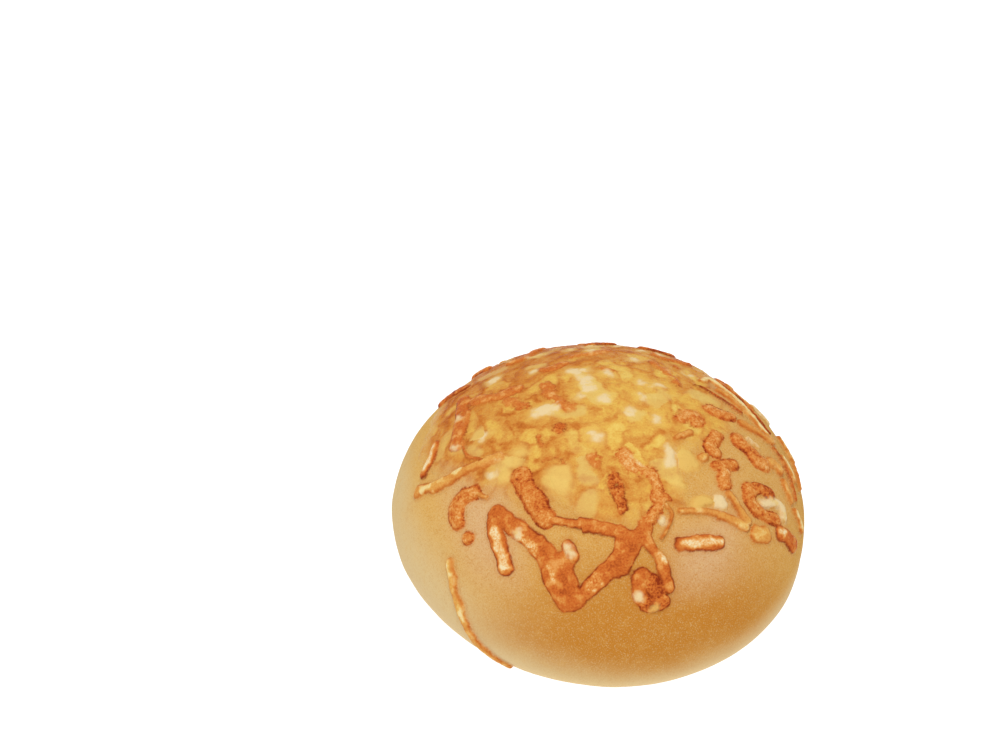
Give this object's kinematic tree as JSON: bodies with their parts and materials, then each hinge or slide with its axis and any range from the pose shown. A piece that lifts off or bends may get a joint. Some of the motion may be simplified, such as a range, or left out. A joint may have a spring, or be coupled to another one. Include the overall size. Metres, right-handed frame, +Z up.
{
  "type": "cheese roll",
  "caption": "Round domed soft bread roll with a flat base, its crown covered in melted, browned shreds of grated cheese; a single serving of bread.",
  "frame": {"origin": "middle of the flat base that the roll was baked on", "axes": "+Z up through the crown, -Y the shown front, +X to the right of that front"},
  "size_m": [0.1101, 0.11, 0.0581],
  "materials": {
    "crust": "soft baked crust, golden tan, with a faint satin sheen",
    "cheese": "melted grated cheese, cream to browned orange, slightly greasy"
  },
  "bodies": {
    "root": {"cheese_roll": "crust"}
  },
  "joints": []
}
